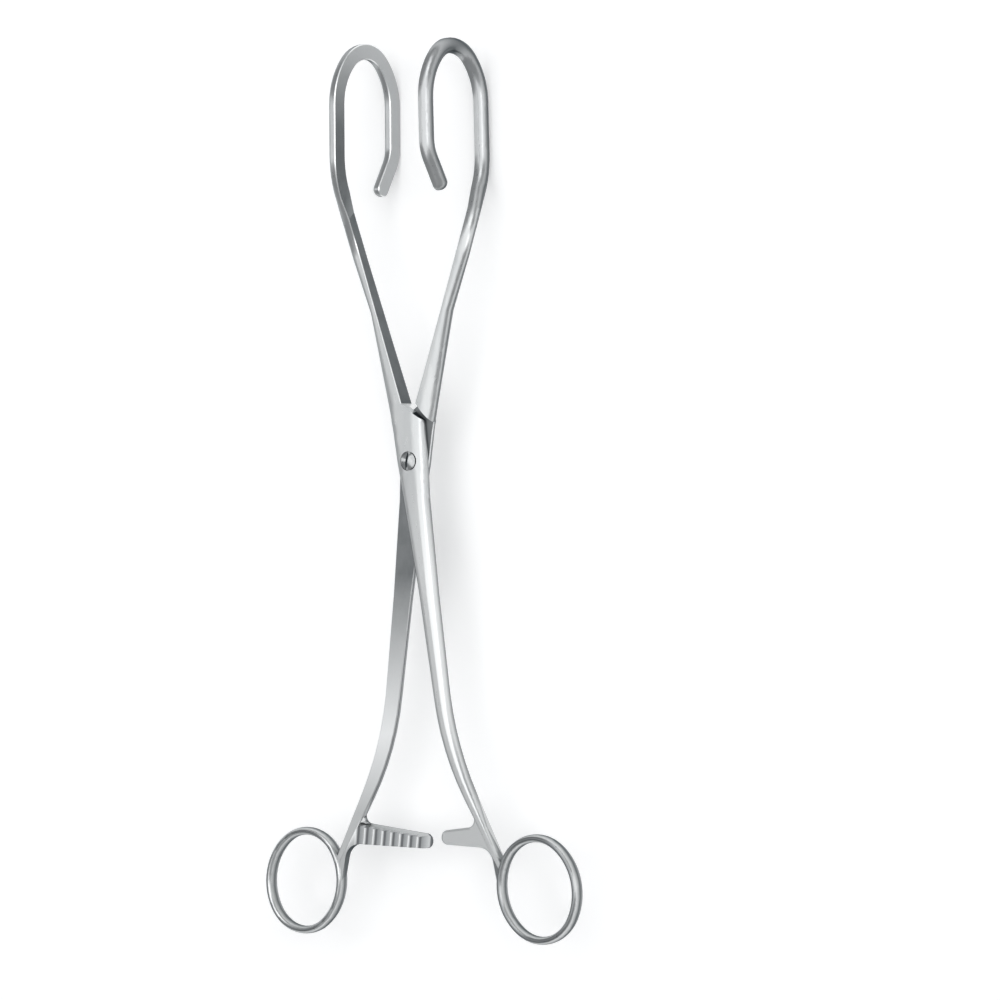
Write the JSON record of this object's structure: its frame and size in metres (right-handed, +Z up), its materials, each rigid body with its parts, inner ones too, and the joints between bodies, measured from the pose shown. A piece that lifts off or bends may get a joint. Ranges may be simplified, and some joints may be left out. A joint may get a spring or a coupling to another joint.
{
  "type": "uterine elevating forceps",
  "caption": "Long ring-handled forceps crossed at a screwed lap joint, with a ratchet and blunt C-shaped hook jaws turned across the instrument.",
  "frame": {"origin": "centre of the bounding box in X and Y, at its lowest face, with the forceps lying on its rear side", "axes": "+Y along the instrument from the finger rings to the hooks, +X to the right across it, +Z up along the joint screw towards its slotted head"},
  "size_m": [0.0976, 0.2232, 0.0247],
  "materials": {
    "satin_steel": "satin ground and bead blasted, edges of the flats polished bright",
    "screw_steel": "turned, lightly polished"
  },
  "bodies": {
    "rear": {"rear_half": "satin_steel", "joint_screw": "screw_steel"},
    "front": {"front_half": "satin_steel"}
  },
  "joints": [
    {"name": "lap_joint", "type": "hinge", "parent": "rear", "child": "front", "pos_m": [0, 0.00719, 0.01236], "axis": [0, 0, 1], "range_deg": [-13.2, 40]}
  ]
}
